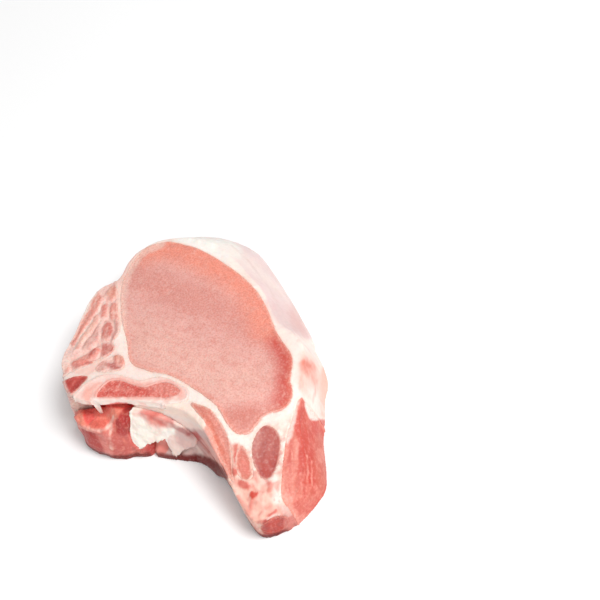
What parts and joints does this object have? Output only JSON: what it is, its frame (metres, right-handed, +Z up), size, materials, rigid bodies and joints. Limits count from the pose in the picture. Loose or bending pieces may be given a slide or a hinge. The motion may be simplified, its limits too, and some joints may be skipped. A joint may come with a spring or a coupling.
{
  "type": "frozen pork chop",
  "caption": "Raw bone-in pork rib chop cut as a thick slice: pale loin eye, marbled spine muscles, rib bone with marrow, outer fat and a tapering tail.",
  "frame": {"origin": "centre of the chop's box on the floor that it lies on", "axes": "+Z up through the slice, +Y along it from the tail to the loin, +X from the bone to the back fat"},
  "size_m": [0.1014, 0.1526, 0.0283],
  "materials": {
    "pale_lean": "moist pale pink meat with a fine grain",
    "marbled_lean": "moist pink meat with cream streaks",
    "red_lean": "moist red meat",
    "fat": "soft white fat with pink and bluish areas",
    "bone": "sawn pinkish-white bone",
    "marrow": "spongy red marrow",
    "cartilage": "torn white cartilage"
  },
  "bodies": {
    "root": {"loin_eye": "pale_lean", "spine_muscle": "marbled_lean", "upper_rib_muscle": "marbled_lean", "end_muscle": "red_lean", "rib_muscle": "pale_lean", "inner_muscle": "pale_lean", "oval_muscle": "red_lean", "flank_muscle": "red_lean", "tip_muscle": "red_lean", "chine_meat": "red_lean", "rib_bone": "bone", "rib_marrow": "marrow", "cartilage": "cartilage", "fat": "fat"}
  },
  "joints": []
}
